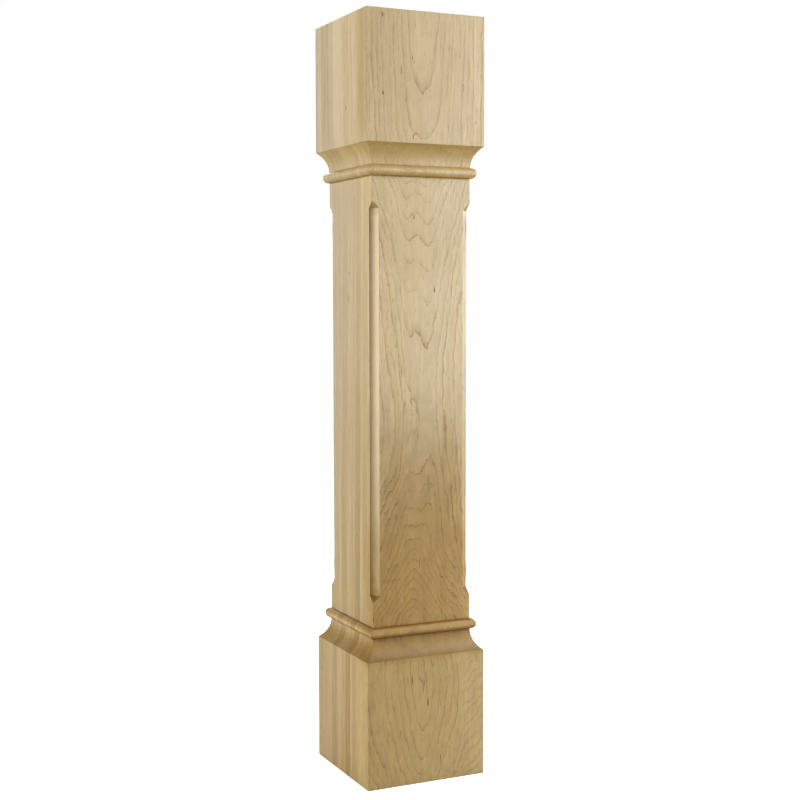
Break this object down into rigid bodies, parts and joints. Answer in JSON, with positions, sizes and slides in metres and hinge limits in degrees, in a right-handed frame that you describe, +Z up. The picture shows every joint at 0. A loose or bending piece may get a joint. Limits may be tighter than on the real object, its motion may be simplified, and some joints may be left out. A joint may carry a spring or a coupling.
{
  "type": "fluted cabinet post",
  "caption": "Square maple cabinet post with plain end blocks, mitred cove and bead mouldings and stopped quarter-round flutes along the corners of its shaft.",
  "frame": {"origin": "middle of the foot, on the floor", "axes": "+Z up along the post, -Y the front, which is the face of one wide board, -X the side that shows the edges of the glued-up boards"},
  "size_m": [0.1524, 0.1524, 0.9017],
  "materials": {
    "maple": "sanded, without a finish"
  },
  "bodies": {
    "root": {"post": "maple"}
  },
  "joints": []
}
